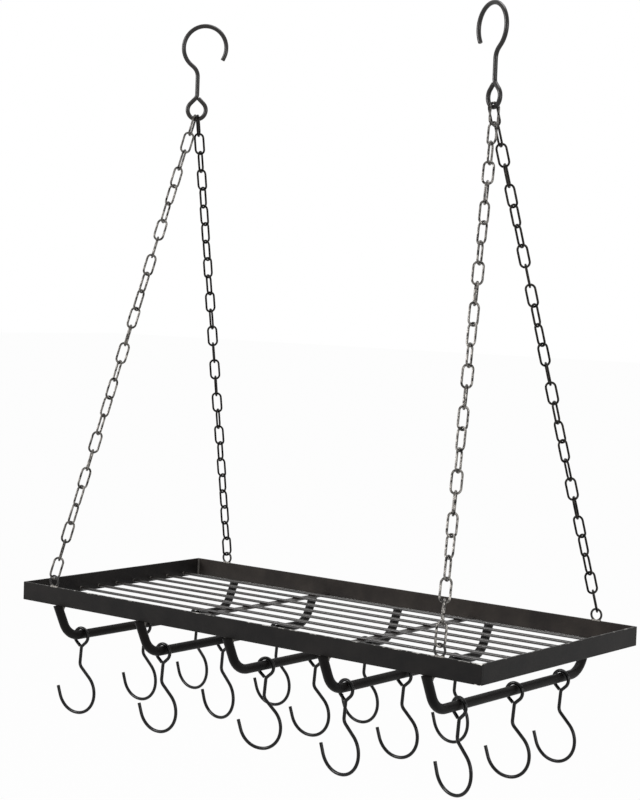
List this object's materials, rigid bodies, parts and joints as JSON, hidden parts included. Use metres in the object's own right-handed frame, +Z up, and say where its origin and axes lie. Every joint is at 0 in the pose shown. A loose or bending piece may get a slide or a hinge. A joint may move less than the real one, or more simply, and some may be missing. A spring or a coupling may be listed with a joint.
{
  "type": "hanging pot rack",
  "caption": "Black metal rack hung by chains from ceiling hooks, with a rimmed wire-grid tray on top and loose S-shaped pot hooks on round bars below.",
  "frame": {"origin": "where the rack is hung: midway between the places inside the crowns of the two ceiling hooks on which it rests, straight above the tray's middle", "axes": "+X along the tray to its right end, +Y from its front to its back, +Z up"},
  "size_m": [0.768, 0.3848, 0.9727],
  "materials": {
    "frame_metal": "satin black powder coat",
    "hook_wire": "semi-gloss black powder coat",
    "chain_metal": "thin black finish over steel, semi-gloss"
  },
  "bodies": {
    "ceiling_hooks": {"ceiling_hook_left": "hook_wire", "ceiling_hook_right": "hook_wire"},
    "left_top_links": {"first_link_front_left": "chain_metal", "first_link_rear_left": "chain_metal"},
    "left_chains": {"chain_front_left": "chain_metal", "chain_rear_left": "chain_metal"},
    "tray": {"rail_front": "frame_metal", "rail_rear": "frame_metal", "rail_left": "frame_metal", "rail_right": "frame_metal", "strip_left": "frame_metal", "strip_right": "frame_metal", "rod_1": "frame_metal", "rod_2": "frame_metal", "rod_3": "frame_metal", "rod_4": "frame_metal", "rod_5": "frame_metal", "rod_6": "frame_metal", "rod_7": "frame_metal", "rod_8": "frame_metal", "rod_9": "frame_metal", "hook_bar_1": "frame_metal", "hook_bar_2": "frame_metal", "hook_bar_3": "frame_metal", "hook_bar_4": "frame_metal", "hook_bar_5": "frame_metal", "rail_eye_front_left": "frame_metal", "rail_eye_rear_left": "frame_metal", "rail_eye_front_right": "frame_metal", "rail_eye_rear_right": "frame_metal", "last_link_front_left": "chain_metal", "last_link_rear_left": "chain_metal", "last_link_front_right": "chain_metal", "last_link_rear_right": "chain_metal"},
    "right_chains": {"first_link_front_right": "chain_metal", "first_link_rear_right": "chain_metal", "chain_front_right": "chain_metal", "chain_rear_right": "chain_metal"},
    "pot_hook_1_front": {"pot_hook_1_front": "hook_wire"},
    "pot_hook_1_middle": {"pot_hook_1_middle": "hook_wire"},
    "pot_hook_1_rear": {"pot_hook_1_rear": "hook_wire"},
    "pot_hook_2_front": {"pot_hook_2_front": "hook_wire"},
    "pot_hook_2_middle": {"pot_hook_2_middle": "hook_wire"},
    "pot_hook_2_rear": {"pot_hook_2_rear": "hook_wire"},
    "pot_hook_3_front": {"pot_hook_3_front": "hook_wire"},
    "pot_hook_3_middle": {"pot_hook_3_middle": "hook_wire"},
    "pot_hook_3_rear": {"pot_hook_3_rear": "hook_wire"},
    "pot_hook_4_front": {"pot_hook_4_front": "hook_wire"},
    "pot_hook_4_middle": {"pot_hook_4_middle": "hook_wire"},
    "pot_hook_4_rear": {"pot_hook_4_rear": "hook_wire"},
    "pot_hook_5_front": {"pot_hook_5_front": "hook_wire"},
    "pot_hook_5_middle": {"pot_hook_5_middle": "hook_wire"},
    "pot_hook_5_rear": {"pot_hook_5_rear": "hook_wire"}
  },
  "joints": [
    {"name": "sway_front_to_back", "type": "hinge", "parent": "ceiling_hooks", "child": "left_top_links", "pos_m": [0, 0, -0.12748], "axis": [1, 0, 0], "range_deg": [-12, 12]},
    {"name": "sway_sideways", "type": "hinge", "parent": "left_top_links", "child": "left_chains", "pos_m": [-0.25289, 0, -0.14862], "axis": [0, 1, 0], "range_deg": [-5, 5]},
    {"name": "left_chains_to_tray", "type": "hinge", "parent": "left_chains", "child": "tray", "pos_m": [-0.32135, 0, -0.74586], "axis": [0, 1, 0], "range_deg": [-5, 5]},
    {"name": "tray_to_right_chains", "type": "hinge", "parent": "tray", "child": "right_chains", "pos_m": [0.32136, 0, -0.74586], "axis": [0, 1, 0], "range_deg": [-5, 5]},
    {"name": "swing_1_front", "type": "hinge", "parent": "tray", "child": "pot_hook_1_front", "pos_m": [-0.31, -0.13931, -0.85357], "axis": [0, 1, 0], "range_deg": [-75, 75]},
    {"name": "swing_1_middle", "type": "hinge", "parent": "tray", "child": "pot_hook_1_middle", "pos_m": [-0.31, -0.01299, -0.85357], "axis": [0, 1, 0], "range_deg": [-75, 75]},
    {"name": "swing_1_rear", "type": "hinge", "parent": "tray", "child": "pot_hook_1_rear", "pos_m": [-0.31, 0.09961, -0.85357], "axis": [0, 1, 0], "range_deg": [-75, 75]},
    {"name": "swing_2_front", "type": "hinge", "parent": "tray", "child": "pot_hook_2_front", "pos_m": [-0.155, -0.13787, -0.85357], "axis": [0, 1, 0], "range_deg": [-75, 75]},
    {"name": "swing_2_middle", "type": "hinge", "parent": "tray", "child": "pot_hook_2_middle", "pos_m": [-0.155, -0.0166, -0.85357], "axis": [0, 1, 0], "range_deg": [-75, 75]},
    {"name": "swing_2_rear", "type": "hinge", "parent": "tray", "child": "pot_hook_2_rear", "pos_m": [-0.155, 0.1025, -0.85357], "axis": [0, 1, 0], "range_deg": [-75, 75]},
    {"name": "swing_3_front", "type": "hinge", "parent": "tray", "child": "pot_hook_3_front", "pos_m": [0, -0.10683, -0.85357], "axis": [0, 1, 0], "range_deg": [-75, 75]},
    {"name": "swing_3_middle", "type": "hinge", "parent": "tray", "child": "pot_hook_3_middle", "pos_m": [0, -0.00289, -0.85357], "axis": [0, 1, 0], "range_deg": [-75, 75]},
    {"name": "swing_3_rear", "type": "hinge", "parent": "tray", "child": "pot_hook_3_rear", "pos_m": [0, 0.10899, -0.85357], "axis": [0, 1, 0], "range_deg": [-75, 75]},
    {"name": "swing_4_front", "type": "hinge", "parent": "tray", "child": "pot_hook_4_front", "pos_m": [0.155, -0.13642, -0.85357], "axis": [0, 1, 0], "range_deg": [-75, 75]},
    {"name": "swing_4_middle", "type": "hinge", "parent": "tray", "child": "pot_hook_4_middle", "pos_m": [0.155, -0.01371, -0.85357], "axis": [0, 1, 0], "range_deg": [-75, 75]},
    {"name": "swing_4_rear", "type": "hinge", "parent": "tray", "child": "pot_hook_4_rear", "pos_m": [0.155, 0.10611, -0.85357], "axis": [0, 1, 0], "range_deg": [-75, 75]},
    {"name": "swing_5_front", "type": "hinge", "parent": "tray", "child": "pot_hook_5_front", "pos_m": [0.31, -0.11405, -0.85357], "axis": [0, 1, 0], "range_deg": [-75, 75]},
    {"name": "swing_5_middle", "type": "hinge", "parent": "tray", "child": "pot_hook_5_middle", "pos_m": [0.31, 0.00866, -0.85357], "axis": [0, 1, 0], "range_deg": [-75, 75]},
    {"name": "swing_5_rear", "type": "hinge", "parent": "tray", "child": "pot_hook_5_rear", "pos_m": [0.31, 0.12054, -0.85357], "axis": [0, 1, 0], "range_deg": [-75, 75]}
  ],
  "couplings": [
    {"joint": "left_chains_to_tray", "follows": "sway_sideways", "ratio": -0.78625},
    {"joint": "tray_to_right_chains", "follows": "sway_sideways", "ratio": 0.75206}
  ]
}
